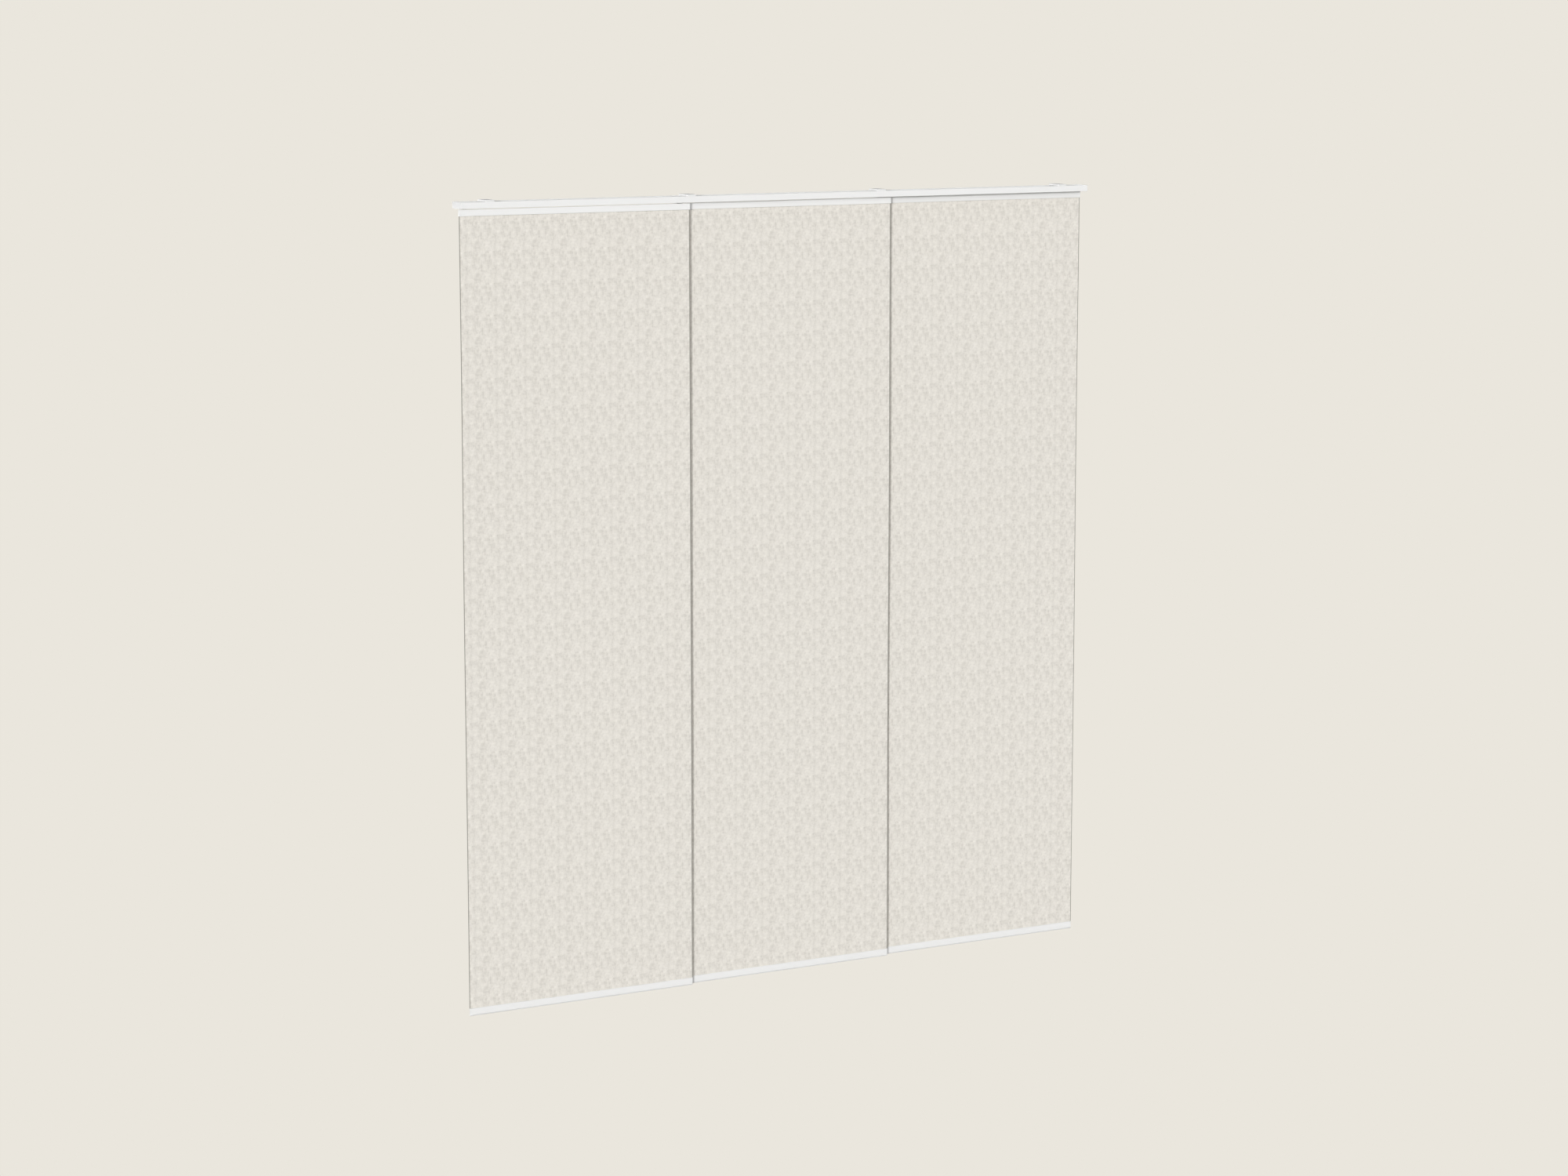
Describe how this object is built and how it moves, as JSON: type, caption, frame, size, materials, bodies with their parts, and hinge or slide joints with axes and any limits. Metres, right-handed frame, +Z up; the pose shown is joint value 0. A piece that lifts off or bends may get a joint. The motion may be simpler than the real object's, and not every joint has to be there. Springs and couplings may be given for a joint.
{
  "type": "panel track curtain",
  "caption": "Ceiling track with parallel channels in which flat fabric panels slide past each other, each on a wheeled carrier with a bar along its lower edge.",
  "frame": {"origin": "on the ceiling plane, over the middle of the track's length and depth", "axes": "+X along the track to the right as seen from the room, +Y from the room towards the window, +Z up"},
  "size_m": [1.829, 0.0472, 2.0522],
  "materials": {
    "white_metal": "satin white powder coat",
    "white_plastic": "satin white moulding",
    "clip_plastic": "matt white moulding",
    "nylon": "natural white moulding",
    "acetal": "smooth white moulding",
    "steel": "bright zinc",
    "spline": "drawn rod",
    "fabric": "plain weave with soft slubs, beige"
  },
  "bodies": {
    "track": {"head_track": "white_metal", "end_cap_left": "white_plastic", "end_cap_right": "white_plastic", "ceiling_clip_1": "clip_plastic", "ceiling_clip_2": "clip_plastic", "ceiling_clip_3": "clip_plastic", "ceiling_clip_4": "clip_plastic"},
    "front_panel": {"front_carrier": "white_metal", "front_carrier_cap_left": "white_plastic", "front_carrier_cap_right": "white_plastic", "front_truck_left": "nylon", "front_truck_right": "nylon", "front_top_spline": "spline", "front_fabric": "fabric", "front_bottom_spline": "spline", "front_bottom_bar": "white_metal", "front_bar_cap_left": "white_plastic", "front_bar_cap_right": "white_plastic"},
    "front_wheelset_left": {"front_wheels_left": "acetal", "front_axle_left": "steel"},
    "front_wheelset_right": {"front_wheels_right": "acetal", "front_axle_right": "steel"},
    "middle_panel": {"middle_carrier": "white_metal", "middle_carrier_cap_left": "white_plastic", "middle_carrier_cap_right": "white_plastic", "middle_truck_left": "nylon", "middle_truck_right": "nylon", "middle_top_spline": "spline", "middle_fabric": "fabric", "middle_bottom_spline": "spline", "middle_bottom_bar": "white_metal", "middle_bar_cap_left": "white_plastic", "middle_bar_cap_right": "white_plastic"},
    "middle_wheelset_left": {"middle_wheels_left": "acetal", "middle_axle_left": "steel"},
    "middle_wheelset_right": {"middle_wheels_right": "acetal", "middle_axle_right": "steel"},
    "back_panel": {"back_carrier": "white_metal", "back_carrier_cap_left": "white_plastic", "back_carrier_cap_right": "white_plastic", "back_truck_left": "nylon", "back_truck_right": "nylon", "back_top_spline": "spline", "back_fabric": "fabric", "back_bottom_spline": "spline", "back_bottom_bar": "white_metal", "back_bar_cap_left": "white_plastic", "back_bar_cap_right": "white_plastic"},
    "back_wheelset_left": {"back_wheels_left": "acetal", "back_axle_left": "steel"},
    "back_wheelset_right": {"back_wheels_right": "acetal", "back_axle_right": "steel"}
  },
  "joints": [
    {"name": "front_panel_slide", "type": "slide", "parent": "track", "child": "front_panel", "axis": [1, 0, 0], "range_m": [0, 1.194]},
    {"name": "front_left_wheelset_spin", "type": "hinge", "parent": "front_panel", "child": "front_wheelset_left", "pos_m": [-0.8988, -0.01414, -0.0148], "axis": [0, 1, 0], "continuous": true},
    {"name": "front_right_wheelset_spin", "type": "hinge", "parent": "front_panel", "child": "front_wheelset_right", "pos_m": [-0.2952, -0.01414, -0.0148], "axis": [0, 1, 0], "continuous": true},
    {"name": "middle_panel_slide", "type": "slide", "parent": "track", "child": "middle_panel", "axis": [1, 0, 0], "range_m": [-0.597, 0.597]},
    {"name": "middle_left_wheelset_spin", "type": "hinge", "parent": "middle_panel", "child": "middle_wheelset_left", "pos_m": [-0.3018, 0, -0.0148], "axis": [0, 1, 0], "continuous": true},
    {"name": "middle_right_wheelset_spin", "type": "hinge", "parent": "middle_panel", "child": "middle_wheelset_right", "pos_m": [0.3018, 0, -0.0148], "axis": [0, 1, 0], "continuous": true},
    {"name": "back_panel_slide", "type": "slide", "parent": "track", "child": "back_panel", "axis": [1, 0, 0], "range_m": [-1.194, 0]},
    {"name": "back_left_wheelset_spin", "type": "hinge", "parent": "back_panel", "child": "back_wheelset_left", "pos_m": [0.2952, 0.01414, -0.0148], "axis": [0, 1, 0], "continuous": true},
    {"name": "back_right_wheelset_spin", "type": "hinge", "parent": "back_panel", "child": "back_wheelset_right", "pos_m": [0.8988, 0.01414, -0.0148], "axis": [0, 1, 0], "continuous": true}
  ],
  "couplings": [
    {"joint": "front_left_wheelset_spin", "follows": "front_panel_slide", "rad_per_m": 250},
    {"joint": "front_right_wheelset_spin", "follows": "front_panel_slide", "rad_per_m": 250},
    {"joint": "middle_left_wheelset_spin", "follows": "middle_panel_slide", "rad_per_m": 250},
    {"joint": "middle_right_wheelset_spin", "follows": "middle_panel_slide", "rad_per_m": 250},
    {"joint": "back_left_wheelset_spin", "follows": "back_panel_slide", "rad_per_m": 250},
    {"joint": "back_right_wheelset_spin", "follows": "back_panel_slide", "rad_per_m": 250}
  ]
}
